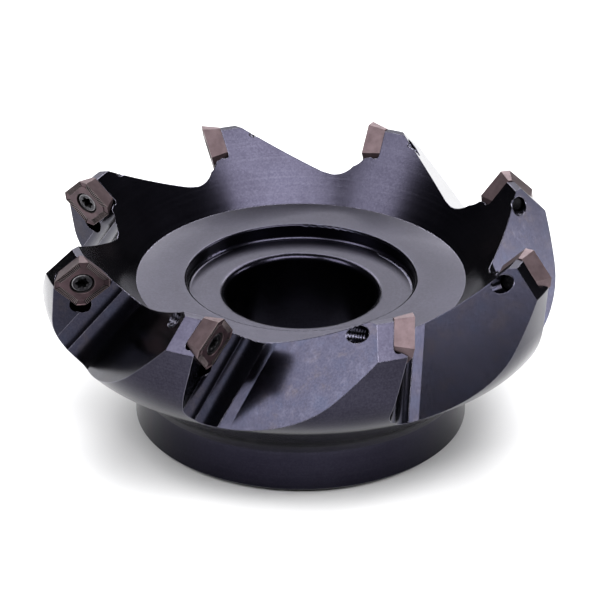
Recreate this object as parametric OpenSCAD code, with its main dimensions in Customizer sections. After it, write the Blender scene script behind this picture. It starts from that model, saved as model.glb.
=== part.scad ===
// A 45 degree face mill of the shell type with square indexable inserts, right-hand cutting.
// The origin is the centre of the back (hub) face; +Z runs along the bore towards the cutting face.

/* [Cutter] */
// Cutting diameter, measured to the outer end of each wiper facet
cut_d = 125; // [120:0.5:130]
// Height of the wiper facets above the back face
cut_h = 57.4; // [56.5:0.1:58]
// Angle of the first tooth from +X, anticlockwise seen from the cutting face
tooth_phase = 26.67; // [0:0.01:44]

/* [Body] */
// Diameter of the cylindrical hub
hub_d = 88.4; // [86:0.2:90]
// Height at which the hub ends and the flare begins
hub_h = 11.8; // [11:0.1:12.5]
// Greatest diameter of the body
rim_d = 135.8; // [134:0.1:137]
// Height of the centre of the rounded rim
rim_h = 39.6; // [38:0.1:41]
// Radius of the rounded rim
rim_round = 15.3; // [14:0.1:17]
// Angle of the flare from the cutter's axis
flare_a = 52.9; // [50:0.1:54]
// Concave radius where the flare meets the hub
hub_fillet = 9; // [7:0.5:11]
// Height of the flat land on top of each tooth
land_h = 56.5; // [56:0.1:56.8]
// Outer diameter of that land
land_d = 122.4; // [121:0.1:124]

/* [Face] */
// Diameter of the arbor bore
bore_d = 40; // [38:0.1:41]
// Height of the flat ring inside the teeth
ring_h = 39.7; // [39:0.1:40.5]
// Outer diameter of that ring
ring_d = 86.6; // [84:0.2:88]
// Angle of the dish that rises from the ring to the teeth
dish_a = 46.4; // [45:0.1:48]
// Diameter of the counterbore for the arbor screw
cb_d = 60.4; // [58:0.2:62]
// Depth of the counterbore below the ring
cb_depth = 4.2; // [3:0.1:6]
// Corner radius at the floor of the counterbore
cb_round = 1.2; // [0.5:0.1:2]
// Radius of the counterbore's upper edge
cb_edge = 0.6; // [0.3:0.1:1]
// Radius of the bore's upper edge
bore_edge = 1.8; // [1:0.1:2.5]
// Chamfer at the back end of the bore and of the hub
bore_bevel = 1; // [0.5:0.1:1.5]

/* [Drive slot] */
// Width of the cross slot for the arbor's drive keys
slot_w = 16.4; // [14:0.1:18]
// Depth of the slot
slot_depth = 9; // [6:0.1:10]
// Length of the slot, which stops inside the hub's wall
slot_len = 78; // [70:1:80]

/* [Gullet] */
// How far the chip face lies below the rake face of the insert
chip_drop = 1.2; // [0.8:0.1:1.8]
// Where the chip face ends and the root begins, measured from the wiper facet
root_at = 9.9; // [9.5:0.1:11]
// Distance of the gullet's back face from the wiper facet, along the chip face
back_at = 18.43; // [17.5:0.01:19]
// Lean of the back face over the chip face
back_lean = 11.17; // [9:0.01:13]
// Lean of the gullet's root line away from the cutter's axis
root_lean = 37.2; // [35:0.1:39]
// Ridge between the two passes of the root, beyond its start and above the rake face
ridge = [3.5, 1.4]; // [1:0.1:5]
// End of the second pass, beyond its start and above the rake face
pass_end = [7.2, 6.2]; // [4:0.1:8]
// Height above the rake face at which the back face begins
back_from = 8.8; // [8:0.1:10]
// How deep the first and the second pass are scooped
scoops = [0.4, 0.7]; // [0.1:0.1:1]
// Flat edge left along each side of a scoop
scoop_edge = 0.1; // [0.05:0.05:0.3]

/* [Insert] */
// Side of the square insert
insert_side = 11.8; // [11:0.1:12.7]
// Width of the facet on each corner
insert_facet = 2.4; // [1.8:0.1:2.8]
// Thickness of the insert
insert_t = 4.76; // [3.97:0.01:5.5]
// Clearance angle of the insert's flanks
insert_relief = 20; // [11:1:25]
// Axial tilt of the insert
axial_a = 13.7; // [5:0.1:18]
// Radial tilt of the insert
radial_a = 15.7; // [5:0.1:18]
// Turn of the insert in its own plane
lead_a = 2.5; // [0:0.1:4]
// Gap between the insert and the steel around it
seat_gap = 0.05; // [0.03:0.01:0.1]
// Room left between the insert's corners and the pocket
corner_gap = 0.6; // [0.4:0.1:1]
// Radius of the hole drilled in the pocket's inner corner
corner_r = 2.8; // [2.2:0.1:3]
// Radius of the relief groove along the foot of each pocket wall
groove_r = 1.1; // [0.6:0.1:1.3]

/* [Screw] */
// Thread diameter of the insert screw
screw_d = 4.4; // [4:0.1:4.6]
// Head diameter of the screw
head_d = 5.5; // [5.2:0.1:6.4]
// Depth of the head's top below the rake face
head_sink = 0.35; // [0.2:0.05:0.6]
// Length of the screw below the rake face
screw_len = 9.4; // [9:0.1:10]
// Bevel at the screw's tip
tip_bevel = 0.5; // [0.2:0.1:0.8]
// Room around the screw's thread in the insert, over the diameter
thread_room = 0.6; // [0.4:0.1:1]
// Room around the screw's head in the insert, over the diameter
head_room = 1; // [0.6:0.1:1.2]
// Depth of the six-lobe socket
socket_depth = 2.2; // [1.5:0.1:2.5]
// Depth of the tapped hole below the rake face, clear through the tooth
hole_depth = 18; // [17:0.5:20]
// Size of the socket across its lobes
socket_d = 3.6; // [3:0.1:4]

/* [Hidden] */
teeth = 8;
tooth_step = 360 / teeth;
round_fn = 96;
far = 60;
lap = 0.1;

// The six-lobe socket's core, and its lobes' size and distance, as shares of its size
socket_core = 0.72;
lobe_d = 0.28;
lobe_at = 0.36;

// Half-widths of the insert: to its facets and to its flanks
facet_r = insert_side / sqrt(2) - insert_facet / 2;
flank_r = insert_side / 2;

// The rounded rim, the straight flare and the fillet at the hub
rim_r = rim_d / 2;
hub_r = hub_d / 2;
rim_c = [rim_r - rim_round, rim_h];
flare_top = rim_c + rim_round * [cos(flare_a), -sin(flare_a)];
flare_foot = [hub_r, flare_top[1] - (flare_top[0] - hub_r) / tan(flare_a)];
fillet_rise = flare_foot[1] - hub_h;
fillet_run = -fillet_rise * cos(flare_a)
    + sqrt(pow(fillet_rise * cos(flare_a), 2) - pow(fillet_rise, 2)
           + 2 * hub_fillet * fillet_rise * sin(flare_a));
fillet_top = flare_foot + fillet_run * [sin(flare_a), cos(flare_a)];
fillet_c = fillet_top + hub_fillet * [cos(flare_a), -sin(flare_a)];
land_fall = land_h - (rim_r - land_d / 2);
dish_rise = far * tan(dish_a);

// Distance of the gullet's back face from the wiper facet, at a height above the rake face
function back_wall(y) = (back_at - y * sin(back_lean)) / cos(back_lean);

// The turned blank: hub, concave fillet, straight flare, rounded rim, bevel and land
module blank() {
    difference() {
        rotate_extrude($fn = round_fn)
            polygon([[0, 0], [hub_r - bore_bevel, 0], [hub_r, bore_bevel], [hub_r, hub_h], fillet_top,
                     flare_top, rim_c + [rim_round, 0], [rim_r, land_fall], [land_d / 2, land_h],
                     [0, land_h]]);
        intersection() {
            rotate_extrude($fn = round_fn) translate(fillet_c) circle(hub_fillet, $fn = round_fn);
            translate([0, 0, hub_h]) cylinder(r = rim_r, h = rim_h, $fn = round_fn);
        }
    }
    rotate_extrude($fn = round_fn) translate(rim_c) circle(rim_round, $fn = round_fn);
}

// The dish, the counterbore and the bore, as one turned recess with rounded edges
module recess() {
    cb_r = cb_d / 2;
    bore_r = bore_d / 2;
    floor_h = ring_h - cb_depth;
    difference() {
        rotate_extrude($fn = round_fn)
            polygon([[0, -1], [bore_r + bore_bevel + 1, -1], [bore_r, bore_bevel],
                     [bore_r, floor_h - bore_edge], [bore_r + bore_edge, floor_h],
                     [cb_r - cb_round, floor_h], [cb_r, floor_h + cb_round],
                     [cb_r, ring_h - cb_edge], [cb_r + cb_edge, ring_h],
                     [ring_d / 2, ring_h], [ring_d / 2 + far, ring_h + dish_rise],
                     [0, ring_h + dish_rise]]);
        rotate_extrude($fn = round_fn)
            translate([bore_r + bore_edge, floor_h - bore_edge]) circle(bore_edge, $fn = 48);
        rotate_extrude($fn = round_fn)
            translate([cb_r + cb_edge, ring_h - cb_edge]) circle(cb_edge, $fn = 48);
    }
    rotate_extrude($fn = round_fn)
        translate([cb_r - cb_round, floor_h + cb_round]) circle(cb_round, $fn = 48);
}

module drive_slot() {
    translate([-slot_len / 2, -slot_w / 2, -1]) cube([slot_len, slot_w, slot_depth + 1]);
}

// Moves a tooth's shapes to the wiper facet of tooth i: X outward, Y along the rake
// face's normal, Z up the rake face
module at_wiper(i) {
    rotate([0, 0, tooth_phase + tooth_step * (i - 1)])
        translate([cut_d / 2 - insert_facet / 2, 0, cut_h])
            rotate([-axial_a, 0, -radial_a])
                children();
}

// Moves shapes to the insert's centre on tooth i: X outward, Z out of the rake face
module at_seat(i) {
    at_wiper(i)
        rotate([0, -lead_a, 0])
            translate([0, 0, -facet_r])
                rotate([-90, 0, 0])
                    children();
}

// Round scoop of a given depth, on the right-hand side of the line from a to b
module scoop(a, b, depth, length) {
    chord = norm(b - a);
    width = chord - 2 * scoop_edge;
    r = (chord * chord / 4 + depth * depth) / (2 * depth);
    translate([(a[0] + b[0]) / 2, (a[1] + b[1]) / 2, 0])
        rotate([0, 0, atan2(b[1] - a[1], b[0] - a[0])])
            intersection() {
                translate([0, r - depth, 0]) cylinder(r = r, h = length, $fn = round_fn);
                translate([-width / 2, -chord, 0]) cube([width, chord + lap, length]);
            }
}

// The chip gullet, cut straight through along its root line. In its section X runs
// along the chip face towards the root and Y out of the rake face.
module gullet(i) {
    root_start = [root_at, -chip_drop];
    root_ridge = [root_at + ridge[0], ridge[1]];
    root_end = [root_at + pass_end[0], pass_end[1]];
    at_wiper(i)
        rotate([0, 180 - root_lean, 0])
            translate([0, 0, -far]) {
                linear_extrude(2 * far)
                    polygon([[-far, far], [-far, -chip_drop], root_start, root_ridge, root_end,
                             [back_wall(back_from), back_from], [back_wall(far), far]]);
                scoop(root_start, root_ridge, scoops[0], 2 * far);
                scoop(root_ridge, root_end, scoops[1], 2 * far);
            }
}

// Everything nearer than r in the direction a, behind a wall that leans outwards
module inside_wall(a, r, lean) {
    rotate([0, 0, a])
        translate([r, 0, 0])
            rotate([0, lean, 0])
                translate([-2 * far, -far, -far])
                    cube([2 * far, 2 * far, 2 * far]);
}

// The pocket is open outwards and upwards, with two leaning walls and a drilled corner
module pocket(i) {
    pocket_floor = -insert_t - seat_gap;
    at_seat(i) {
        intersection() {
            inside_wall(45, flank_r + seat_gap, insert_relief);
            inside_wall(135, flank_r + seat_gap, insert_relief);
            translate([-facet_r - corner_gap, -far, pocket_floor])
                cube([far, 2 * far, -pocket_floor]);
        }
        translate([0, facet_r + corner_gap, pocket_floor])
            cylinder(r = corner_r, h = -pocket_floor, $fn = 48);
        for (side = [0, 1])
            mirror([side, 0, 0])
                rotate([0, 0, 45])
                    translate([flank_r - insert_t * tan(insert_relief), flank_r, groove_r - insert_t])
                        rotate([90, 0, 0])
                            cylinder(r = groove_r, h = 4 * flank_r, $fn = 32);
    }
}

// Tapped hole, right through the tooth to its back
module screw_hole(i) {
    at_seat(i)
        translate([0, 0, -hole_depth])
            cylinder(d = screw_d + 2 * seat_gap, h = hole_depth, $fn = 48);
}

module cutter_body() {
    color("#3b3b47")
    difference() {
        blank();
        recess();
        drive_slot();
        for (i = [1 : teeth]) {
            gullet(i);
            pocket(i);
            screw_hole(i);
        }
    }
}

module insert_solid() {
    hole_d = screw_d + thread_room;
    cone_d = head_d + head_room;
    difference() {
        intersection() {
            translate([-flank_r * 2, -flank_r * 2, -insert_t])
                cube([4 * flank_r, 4 * flank_r, insert_t]);
            intersection_for(a = [0 : 90 : 270]) inside_wall(a, facet_r, insert_relief);
            intersection_for(a = [45 : 90 : 315]) inside_wall(a, flank_r, insert_relief);
        }
        translate([0, 0, -insert_t - 1]) cylinder(d = hole_d, h = insert_t + 2, $fn = 48);
        translate([0, 0, hole_d - cone_d])
            cylinder(d1 = hole_d, d2 = cone_d + 2 * lap, h = cone_d - hole_d + lap, $fn = 48);
    }
}

module insert(i) {
    color("#7d6661") at_seat(i) insert_solid();
}

// Countersunk screw with a six-lobe socket, its head just below the rake face
module insert_screw(i) {
    cone_h = head_d - screw_d;
    cone_foot = -head_sink - cone_h;
    tip = -screw_len + tip_bevel;
    color("#2c2c31")
    at_seat(i)
        difference() {
            union() {
                translate([0, 0, cone_foot])
                    cylinder(d1 = screw_d, d2 = head_d, h = cone_h, $fn = 48);
                translate([0, 0, tip])
                    cylinder(d = screw_d, h = cone_foot - tip, $fn = 48);
                translate([0, 0, -screw_len])
                    cylinder(d1 = screw_d - 2 * tip_bevel, d2 = screw_d, h = tip_bevel, $fn = 48);
            }
            translate([0, 0, -head_sink - socket_depth]) {
                cylinder(d = socket_d * socket_core, h = socket_depth + 1, $fn = 48);
                for (a = [0 : 60 : 300])
                    rotate([0, 0, a])
                        translate([socket_d * lobe_at, 0, 0])
                            cylinder(d = socket_d * lobe_d, h = socket_depth + 1, $fn = 24);
            }
        }
}

cutter_body();
for (i = [1 : teeth]) {
    insert(i);
    insert_screw(i);
}
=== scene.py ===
import bmesh
import bpy
from math import cos, pi, radians, sin, sqrt, tan
from mathutils import Matrix, Vector


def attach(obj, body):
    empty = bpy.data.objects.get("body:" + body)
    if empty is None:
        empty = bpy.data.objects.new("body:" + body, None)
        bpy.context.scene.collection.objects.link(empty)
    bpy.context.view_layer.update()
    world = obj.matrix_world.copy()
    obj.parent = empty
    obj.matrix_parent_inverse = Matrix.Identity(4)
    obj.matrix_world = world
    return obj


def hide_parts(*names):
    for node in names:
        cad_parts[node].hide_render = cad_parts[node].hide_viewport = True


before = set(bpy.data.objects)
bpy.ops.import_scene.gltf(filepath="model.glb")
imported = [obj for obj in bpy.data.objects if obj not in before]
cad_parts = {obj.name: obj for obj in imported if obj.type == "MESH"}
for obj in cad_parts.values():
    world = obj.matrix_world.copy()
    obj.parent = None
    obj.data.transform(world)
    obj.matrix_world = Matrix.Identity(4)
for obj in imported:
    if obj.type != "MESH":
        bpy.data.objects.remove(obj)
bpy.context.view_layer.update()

# ---- Cutter body ----------------------------------------------------------------------
# One forging of alloy steel, turned, then milled for the gullets and the insert pockets.
# It is hardened and blackened, which leaves a thin violet-blue skin that rubs off edges.
# The bright edges are partly this wear and partly a painted highlight, and the hub is painted darker
# as shade.

MM = 0.001


class Amount:
    """A number that varies over a surface, for use in a plain expression."""

    def __init__(self, finish, socket):
        self.finish, self.socket = finish, socket

    def math(self, operation, *values):
        return self.finish.node("Math", {"operation": operation}, dict(enumerate(values)))

    def __add__(self, other):
        return self.math("ADD", self, other)

    def __radd__(self, other):
        return self.math("ADD", other, self)

    def __sub__(self, other):
        return self.math("SUBTRACT", self, other)

    def __rsub__(self, other):
        return self.math("SUBTRACT", other, self)

    def __mul__(self, other):
        return self.math("MULTIPLY", self, other)

    def __rmul__(self, other):
        return self.math("MULTIPLY", other, self)

    def __truediv__(self, other):
        return self.math("DIVIDE", self, other)


class Finish:
    """A named material whose nodes are added one at a time."""

    def __init__(self, name):
        self.material = bpy.data.materials.new(name)
        self.material.use_nodes = True
        self.tree = self.material.node_tree
        self.shader = self.tree.nodes["Principled BSDF"]
        place = self.node("TexCoord", out=None)
        self.at = self.node("VectorMath", {"operation": "SCALE"},
                            {0: place.outputs["Object"], "Scale": 1 / MM})
        self.facing = Amount(self, place.outputs["Normal"])

    def node(self, kind, settings=None, values=None, out=0):
        """Adds a node. Settings go first, then values or links, and one output comes back."""
        made = self.tree.nodes.new("ShaderNode" + kind)
        for key, value in (settings or {}).items():
            setattr(made, key, value)
        self.link(made, values or {})
        return made if out is None else Amount(self, made.outputs[out])

    def link(self, made, values):
        for key, value in values.items():
            if isinstance(value, Amount):
                value = value.socket
            if isinstance(value, bpy.types.NodeSocket):
                self.tree.links.new(value, made.inputs[key])
            else:
                made.inputs[key].default_value = value

    def set(self, **values):
        """Values or links of the surface shader's own sockets; _ stands for a space."""
        self.link(self.shader, {key.replace("_", " "): v for key, v in values.items()})

    def noise(self, where, scale, detail=3.0, roughness=0.55):
        return self.node("TexNoise", {}, {"Vector": where, "Scale": scale, "Detail": detail,
                                          "Roughness": roughness})

    def stretched(self, where, x, y, z):
        return self.node("VectorMath", {"operation": "MULTIPLY"}, {0: where, 1: (x, y, z)})

    def ramp(self, value, low, high):
        """0 below low, 1 above high, and smooth between them."""
        return self.node("MapRange", {"interpolation_type": "SMOOTHSTEP"},
                         {0: value, 1: low, 2: high})

    def blend(self, share, a, b):
        """Colour a where share is 0 and b where it is 1."""
        a, b = [(*c, 1) if isinstance(c, tuple) else c for c in (a, b)]
        return self.node("Mix", {"data_type": "RGBA"}, {0: share, 6: a, 7: b}, out=2)

    def dot(self, a, b):
        return self.node("VectorMath", {"operation": "DOT_PRODUCT"}, {0: a, 1: b}, out=1)

    def vector(self, x, y, z):
        return self.node("CombineXYZ", {}, {0: x, 1: y, 2: z})

    def parts(self, vector):
        split = self.node("SeparateXYZ", {}, {0: vector}, out=None)
        return [Amount(self, split.outputs[k]) for k in range(3)]

    def rounded(self, radius):
        """The normal as if every edge were rounded to this radius."""
        return self.node("Bevel", {"samples": 6}, {"Radius": radius})


def blackened_steel():
    skin = Finish("blackened steel")
    x, y, z = skin.parts(skin.at)
    nx, ny, nz = skin.parts(skin.facing)
    radius = skin.node("Math", {"operation": "SQRT"}, {0: x * x + y * y})
    swirl = skin.node("Math", {"operation": "ABSOLUTE"}, {0: (x * ny - y * nx) / radius})
    turned = 1 - skin.ramp(swirl, 0.03, 0.10)
    faced = turned * skin.ramp(nz, 0.95, 0.99)
    lathe = skin.noise(skin.vector(radius * 1.4, z * 1.4, 0.0), 1.0, 6.0, 0.85)
    milled = skin.noise(skin.stretched(skin.at, 3.0, 3.0, 0.30), 1.0, 4.0, 0.65)
    grain = turned * lathe + (1 - turned) * milled
    cloud = skin.noise(skin.at, 0.045, 4.0, 0.6)
    rub = skin.noise(skin.stretched(skin.at, 1.0, 1.0, 0.45), 0.30, 5.0, 0.7)
    rubbed = skin.ramp(rub, 0.50, 0.75)
    edge = skin.rounded(0.25 * MM)
    # Edge mask for the worn edges, which also serve as a painted highlight.
    worn = skin.ramp(1 - skin.dot(edge, skin.node("NewGeometry", out=1)), 0.01, 0.07)
    chips = 0.35 + 0.65 * skin.ramp(skin.noise(skin.at, 0.8, 4.0, 0.7), 0.35, 0.65)
    temper = skin.noise(skin.at, 0.17, 4.0, 0.65)
    micro = skin.noise(skin.at, 1.9, 3.0, 0.7)
    base = skin.blend(skin.ramp(cloud, 0.35, 0.65), (0.0185, 0.0172, 0.0265), (0.025, 0.0235, 0.0355))
    base = skin.blend((1 - turned) * 0.75, base, (0.024, 0.024, 0.037))
    heat = (1 - turned) * 0.35
    base = skin.blend(skin.ramp(temper, 0.50, 0.66) * heat, base, (0.022, 0.027, 0.046))
    base = skin.blend(skin.ramp(1 - temper, 0.52, 0.68) * heat, base, (0.042, 0.035, 0.036))
    base = skin.blend(rubbed * (0.5 - 0.4 * turned), base, (0.045, 0.044, 0.062))
    base = skin.blend(skin.ramp(grain, 0.45, 0.75) * (0.16 + 0.12 * turned), base,
                      (0.055, 0.053, 0.072))
    base = skin.blend(skin.ramp(micro, 0.45, 0.70) * 0.22, base, (0.050, 0.049, 0.066))
    base = skin.blend(skin.ramp(1 - micro, 0.45, 0.70) * 0.30, base, (0.010, 0.010, 0.016))
    # Painted shade: below 9 to 14 mm up, the hub is darkened as if in the floor's shadow.
    base = skin.blend((1 - skin.ramp(z, 9.0, 14.0)) * 0.5, base, (0.009, 0.008, 0.016))
    # Partly rubbed-off skin and partly a painted highlight: edges are brightened towards bare steel.
    base = skin.blend(worn * chips * 0.6, base, (0.30, 0.29, 0.36))
    skin.set(Metallic=1.0, Base_Color=base,
             Roughness=0.11 + 0.08 * grain + 0.05 * cloud + 0.05 * turned
             + 0.15 * faced - 0.02 * rubbed)
    bump = skin.node("Bump", {}, {"Strength": 0.35, "Distance": 0.02 * MM,
                                  "Height": grain * (0.15 + 0.85 * turned), "Normal": edge})
    skin.set(Normal=bump)
    return skin.material


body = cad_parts["cutter_body"]
body.data.materials.clear()
body.data.materials.append(blackened_steel())

# ---- Inserts --------------------------------------------------------------------------
# Eight square inserts of sintered carbide with a bronze-coloured coating. The rake face
# carries a narrow land, a groove with short pressed ribs, and a flat round the screw.

TEETH = 8
TOOTH_PHASE = 26.67
CUT_D, CUT_H = 125.0, 57.4
SIDE, FACET, THICK, RELIEF = 11.8, 2.4, 4.76, 20.0
AXIAL, RADIAL, LEAD = 13.7, 15.7, 2.5
FACET_R = SIDE / sqrt(2) - FACET / 2
FLANK_R = SIDE / 2
HOLE_R, SINK_R = 2.5, 3.25
RIBS, RIB_END = 16, 1.35


def turn(degrees, axis):
    return Matrix.Rotation(radians(degrees), 4, axis)


def seat(i):
    """Puts the insert's own frame, in millimetres, on tooth i of the cutter, in metres."""
    return (Matrix.Scale(MM, 4) @ turn(TOOTH_PHASE + 360 / TEETH * (i - 1), "Z")
            @ Matrix.Translation((CUT_D / 2 - FACET / 2, 0, CUT_H))
            @ turn(-RADIAL, "Z") @ turn(-AXIAL, "X") @ turn(-LEAD, "Y")
            @ Matrix.Translation((0, 0, -FACET_R)) @ turn(-90, "X"))


def outline(inset, samples):
    """Points round the insert, this far inside its edge, with the distance along each side."""
    lines = [(k * pi / 4, (FACET_R if k % 2 == 0 else FLANK_R) - inset) for k in range(8)]
    corners = []
    for k in range(8):
        (a, p), (b, q) = lines[k - 1], lines[k]
        corners.append(Vector(((p * sin(b) - q * sin(a)), (q * cos(a) - p * cos(b)))) / sin(b - a))
    points = []
    for k in range(8):
        start, end = corners[k], corners[(k + 1) % 8]
        count = samples[k % 2]
        points += [(start.lerp(end, s / count), k % 2, s / count) for s in range(count)]
    return points


def ring_mesh(name, rings, place, close=False):
    """A skin of faces through rings of equal length; each ring gives the slot of its band."""
    mesh = bmesh.new()
    made = [[mesh.verts.new(place @ Vector(p)) for p in points] for points, slot in rings]
    pairs = list(zip(made, made[1:] + made[:1] * close, [slot for points, slot in rings]))
    for lower, upper, slot in pairs[:len(rings) if close else len(rings) - 1]:
        for k in range(len(lower)):
            face = mesh.faces.new((lower[k - 1], lower[k], upper[k], upper[k - 1]))
            face.material_index = slot if isinstance(slot, int) else slot[k]
    bmesh.ops.recalc_face_normals(mesh, faces=mesh.faces)
    data = bpy.data.meshes.new(name)
    mesh.to_mesh(data)
    mesh.free()
    piece = bpy.data.objects.new(name, data)
    bpy.context.collection.objects.link(piece)
    return piece


def insert_rings():
    samples = (4, 4 * RIBS)

    def level(inset, height, rib=0.0, slot=0):
        points = []
        for p, long_side, share in outline(inset, samples):
            tooth = abs((share * RIBS) % 1.0 - 0.5) * 2
            near_end = min(share, 1 - share) < 0.02
            lift = rib * tooth if long_side and not near_end else 0.0
            points.append((p.x, p.y, height + lift))
        return points, slot

    def grooved():
        """Crests are painted light like the land, as a highlight, and the hollows between them are
        painted near-black, as shade.
        """
        slots = []
        for p, long_side, share in outline(0, samples):
            inside = long_side and 0.03 < share < 0.99
            hollow = 0.3 < (share * RIBS) % 1.0 < 0.8
            slots.append((3 if hollow else 1) if inside else 0)
        return slots

    def circle(radius, height, slot):
        points = [Vector((p.x, p.y)).normalized() * radius for p, side, share in outline(0, samples)]
        return [(p.x, p.y, height) for p in points], slot

    drop = THICK * tan(radians(RELIEF))
    return [
        level(0.0, -0.06, slot=1),
        level(0.05, 0.0, slot=0),
        level(0.12, 0.0, slot=grooved()),
        level(0.28, -0.20, 0.18, slot=grooved()),
        level(RIB_END, -0.18, 0.16, slot=grooved()),
        level(RIB_END + 0.25, -0.02, slot=0),
        circle(SINK_R + 0.05, -0.02, 0),
        # Painted shade: the countersink and the hole wall take the near-black coat.
        circle(SINK_R - 0.05, -0.12, 3),
        circle(HOLE_R, -2 * (SINK_R - HOLE_R), 3),
        circle(HOLE_R, -THICK, 0),
        level(drop, -THICK, slot=2),
    ]


def coated_carbide(name, dark, light, roughness, wear=0.25):
    skin = Finish(name)
    speck = skin.noise(skin.at, 6.0, 3.0, 0.6)
    cloud = skin.noise(skin.at, 0.35, 4.0, 0.6)
    scuff = skin.noise(skin.stretched(skin.at, 3.0, 3.0, 0.5), 1.0, 4.0, 0.7)
    edge = skin.rounded(0.12 * MM)
    worn = skin.ramp(1 - skin.dot(edge, skin.node("NewGeometry", out=1)), 0.02, 0.12)
    base = skin.blend(skin.ramp(cloud, 0.3, 0.7), dark, light)
    base = skin.blend(skin.ramp(speck, 0.62, 0.75) * 0.5, base, light)
    base = skin.blend(worn * wear, base, (0.55, 0.46, 0.43))
    skin.set(Metallic=0.75, Base_Color=base, Roughness=roughness + 0.12 * scuff,
             Normal=skin.node("Bump", {}, {"Strength": 0.3, "Distance": 0.01 * MM,
                                           "Height": speck, "Normal": edge}))
    return skin.material


rake_coat = coated_carbide("rake coating", (0.042, 0.025, 0.030), (0.078, 0.048, 0.055), 0.40)
land_coat = coated_carbide("ground land", (0.080, 0.062, 0.066), (0.130, 0.102, 0.106), 0.34)
flank_coat = coated_carbide("flank coating", (0.070, 0.047, 0.052), (0.105, 0.074, 0.081), 0.40)

# Near-black painted shade for the rib hollows, the countersink and the hole wall.
painted_shade_coat = coated_carbide("painted shade in hollows", (0.003, 0.002, 0.002), (0.006, 0.004, 0.005), 0.55,
                             wear=0.0)

for i in range(1, TEETH + 1):
    piece = ring_mesh(f"insert_{i}_carbide", insert_rings(), seat(i), close=True)
    for coat in (rake_coat, land_coat, flank_coat, painted_shade_coat):
        piece.data.materials.append(coat)
    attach(piece, f"insert_{i}")
    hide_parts(f"insert_{i}")

# ---- Insert screws --------------------------------------------------------------------
# Countersunk screws with a six-lobe socket, of black-oxidised alloy steel. Each passes
# through its insert into the tapped hole in the tooth; the rim of the head is painted bright as a
# highlight, and the socket is painted dark as shade.

THREAD_R, PITCH = 2.2, 0.7
HEAD_R, HEAD_SINK, SCREW_LEN = 2.75, 0.35, 9.4
SOCKET_R, SOCKET_DEPTH = 1.8, 2.2


def screw_rings():
    steps = 72

    def ring(radius, height, slot=0):
        angles = [2 * pi * k / steps for k in range(steps)]
        return [(radius * cos(a), radius * sin(a), height) for a in angles], slot

    def lobes(scale, height, slot=0):
        angles = [2 * pi * k / steps for k in range(steps)]
        sizes = [scale * SOCKET_R * (0.855 + 0.145 * cos(6 * a)) for a in angles]
        return [(r * cos(a), r * sin(a), height) for r, a in zip(sizes, angles)], slot

    def thread(share, height):
        angles = [2 * pi * k / steps for k in range(steps)]
        turns = [abs(((height / PITCH) - k / steps) % 1.0 - 0.5) * 2 for k in range(steps)]
        sizes = [THREAD_R - share * 0.36 * t for t in turns]
        return [(r * cos(a), r * sin(a), height) for r, a in zip(sizes, angles)], 0

    top = -HEAD_SINK
    cone_foot = top - (HEAD_R - THREAD_R) * 2
    rings = [
        # The socket bands take the darker steel, as painted shade.
        lobes(0.02, top - SOCKET_DEPTH + 0.1, 1),
        lobes(0.86, top - SOCKET_DEPTH, 1),
        lobes(0.95, top - SOCKET_DEPTH + 0.12, 1),
        lobes(0.98, top - 0.16, 1),
        lobes(1.06, top, 0),
        ring(HEAD_R - 0.55, top, 0),
        # Painted highlight: the rim bands take the bright rim steel.
        ring(HEAD_R - 0.30, top + 0.04, 2),
        ring(HEAD_R - 0.10, top - 0.02, 2),
        ring(HEAD_R, top - 0.16, 0),
        ring(THREAD_R + 0.05, cone_foot, 0),
    ]
    height = cone_foot - 0.25
    tip = -SCREW_LEN + 0.4
    count = int((height - tip) / (PITCH / 7))
    rings += [thread(min(1.0, n / 7), height + (tip - height) * n / count) for n in range(count + 1)]
    rings += [ring(THREAD_R - 0.62, -SCREW_LEN), ring(0.02, -SCREW_LEN)]
    return rings


def oxidised_steel(name, base, roughness):
    skin = Finish(name)
    speck = skin.noise(skin.at, 4.0, 3.0, 0.6)
    wear = skin.ramp(skin.noise(skin.at, 1.3, 4.0, 0.65), 0.45, 0.7)
    edge = skin.rounded(0.10 * MM)
    bright = tuple(min(1.0, 2.2 * c + 0.05) for c in base)
    skin.set(Metallic=1.0, Base_Color=skin.blend(wear * 0.6, base, bright),
             Roughness=roughness + 0.15 * speck,
             Normal=skin.node("Bump", {}, {"Strength": 0.3, "Distance": 0.01 * MM,
                                           "Height": speck, "Normal": edge}))
    return skin.material


head_steel = oxidised_steel("screw steel", (0.030, 0.029, 0.033), 0.32)
# Painted shade: the socket is given a darker steel than the head.
socket_shade_steel = oxidised_steel("socket steel, painted shade", (0.012, 0.012, 0.013), 0.45)
# Painted highlight: a bright steel for the rim of the head.
rim_highlight_steel = oxidised_steel("rim, painted highlight", (0.16, 0.155, 0.165), 0.25)

for i in range(1, TEETH + 1):
    piece = ring_mesh(f"insert_screw_{i}_steel", screw_rings(), seat(i))
    for steel in (head_steel, socket_shade_steel, rim_highlight_steel):
        piece.data.materials.append(steel)
    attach(piece, f"insert_screw_{i}")
    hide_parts(f"insert_screw_{i}")

# ---- Tapped holes ---------------------------------------------------------------------
# Each screw's hole is tapped right through its tooth. Past the screw's tip the thread is
# open and shows at the tooth's back, so its ridges are shaped there, in the same steel.

HOLE_WALL, RIDGE = 2.26, 0.30
THREAD_FROM, THREAD_TO = -10.2, -18.0
ROOT_LEAN, BACK_AT, BACK_LEAN = 37.2, 18.43, 11.17


def gullet_back(i):
    """A point on the back face of the gullet in front of tooth i, and the way it faces."""
    gullet = (turn(TOOTH_PHASE + 360 / TEETH * (i - 1), "Z")
              @ Matrix.Translation((CUT_D / 2 - FACET / 2, 0, CUT_H))
              @ turn(-RADIAL, "Z") @ turn(-AXIAL, "X") @ turn(180 - ROOT_LEAN, "Y"))
    lean = radians(BACK_LEAN)
    facing = gullet.to_3x3() @ Vector((-cos(lean), -sin(lean), 0))
    return (gullet @ Vector((BACK_AT / cos(lean), 0, 0))) * MM, facing


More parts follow.
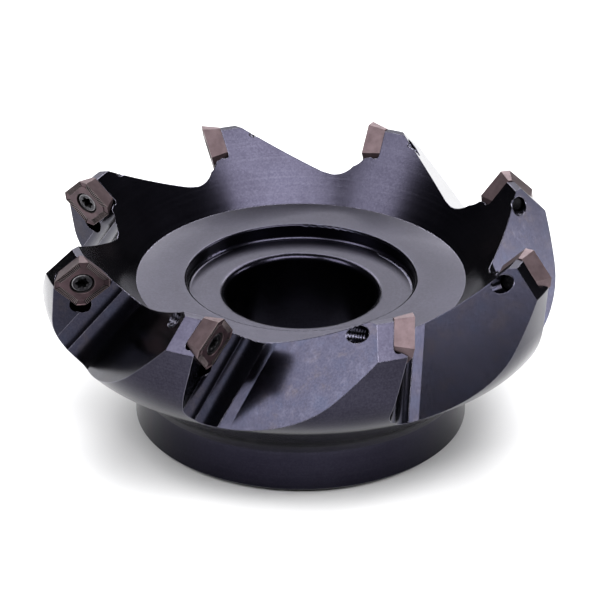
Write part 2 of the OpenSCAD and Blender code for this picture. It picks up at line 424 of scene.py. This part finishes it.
def thread_rings():
    steps = 48
    count = int((THREAD_FROM - THREAD_TO) / (PITCH / 6))
    rings = []
    for n in range(count + 1):
        height = THREAD_FROM + (THREAD_TO - THREAD_FROM) * n / count
        angles = [2 * pi * k / steps for k in range(steps)]
        turns = [abs(((height / PITCH) - k / steps) % 1.0 - 0.5) * 2 for k in range(steps)]
        sizes = [HOLE_WALL - RIDGE * t for t in turns]
        rings.append(([(r * cos(a), r * sin(a), height) for r, a in zip(sizes, angles)], 0))
    return rings


for i in range(1, TEETH + 1):
    piece = ring_mesh(f"tapped_thread_{i}", thread_rings(), seat(i))
    point, facing = gullet_back((i - 2) % TEETH + 1)
    cut = bmesh.new()
    cut.from_mesh(piece.data)
    bmesh.ops.bisect_plane(cut, geom=cut.verts[:] + cut.edges[:] + cut.faces[:],
                           plane_co=point - facing * 0.05 * MM, plane_no=facing, clear_outer=True)
    cut.to_mesh(piece.data)
    cut.free()
    piece.data.materials.append(body.data.materials[0])
    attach(piece, "cutter")

# ---- Studio ---------------------------------------------------------------------------
# A pale floor, soft boxes behind, above the front, at the left and at the right, and a
# small card at the front. The room is dim, so that the dark steel shows its shapes.

floor_skin = Finish("pale floor")
floor_cloud = floor_skin.noise(floor_skin.at, 0.01, 3.0)
floor_skin.set(Base_Color=floor_skin.blend(floor_cloud, (0.86, 0.86, 0.87), (0.90, 0.90, 0.90)),
               Roughness=0.65 + 0.1 * floor_cloud)
floor_mesh = bmesh.new()
floor_mesh.faces.new([floor_mesh.verts.new((x, y, -0.0002))
                      for x, y in ((-6, -6), (6, -6), (6, 6), (-6, 6))])
floor_data = bpy.data.meshes.new("studio_floor")
floor_mesh.to_mesh(floor_data)
floor_mesh.free()
floor = bpy.data.objects.new("studio_floor", floor_data)
bpy.context.collection.objects.link(floor)
floor_data.materials.append(floor_skin.material)

room = bpy.data.worlds.new("dim room")
bpy.context.scene.world = room
room.use_nodes = True
room.node_tree.nodes["Background"].inputs["Color"].default_value = (0.80, 0.80, 0.86, 1)
room.node_tree.nodes["Background"].inputs["Strength"].default_value = 0.05


def soft_box(name, direction, distance, width, height, power):
    """An area light that faces the cutter from (azimuth from +X, elevation), in degrees."""
    azimuth, elevation = (radians(a) for a in direction)
    away = Vector((cos(elevation) * cos(azimuth), cos(elevation) * sin(azimuth), sin(elevation)))
    data = bpy.data.lights.new(name, "AREA")
    data.shape, data.size, data.size_y = "RECTANGLE", width, height
    data.energy = power
    light = bpy.data.objects.new(name, data)
    light.location = away * distance + Vector((0, 0, 0.03))
    light.rotation_euler = away.to_track_quat("Z", "Y").to_euler()
    bpy.context.collection.objects.link(light)


soft_box("back box", (88, 43), 1.1, 1.1, 0.55, 17)
soft_box("front box", (-72, 60), 1.1, 1.0, 0.44, 15)
soft_box("front card", (-43, 39), 1.1, 0.30, 0.16, 1.4)
soft_box("left box", (-155, 46), 1.1, 0.46, 0.62, 7.5)
soft_box("right box", (7, 18), 1.2, 0.40, 0.36, 4.6)
bpy.context.scene.view_settings.view_transform = "Standard"

camera = bpy.data.objects.new("camera", bpy.data.cameras.new("camera"))
camera.data.lens, camera.data.sensor_width = 173.0, 36.0
camera.data.clip_end = 20
camera.matrix_world = (Matrix.Translation(Vector((-0.25, -674.1, 387.7)) * MM)
                       @ turn(62.21, "X") @ turn(0.17, "Z"))
bpy.context.collection.objects.link(camera)
bpy.context.scene.camera = camera
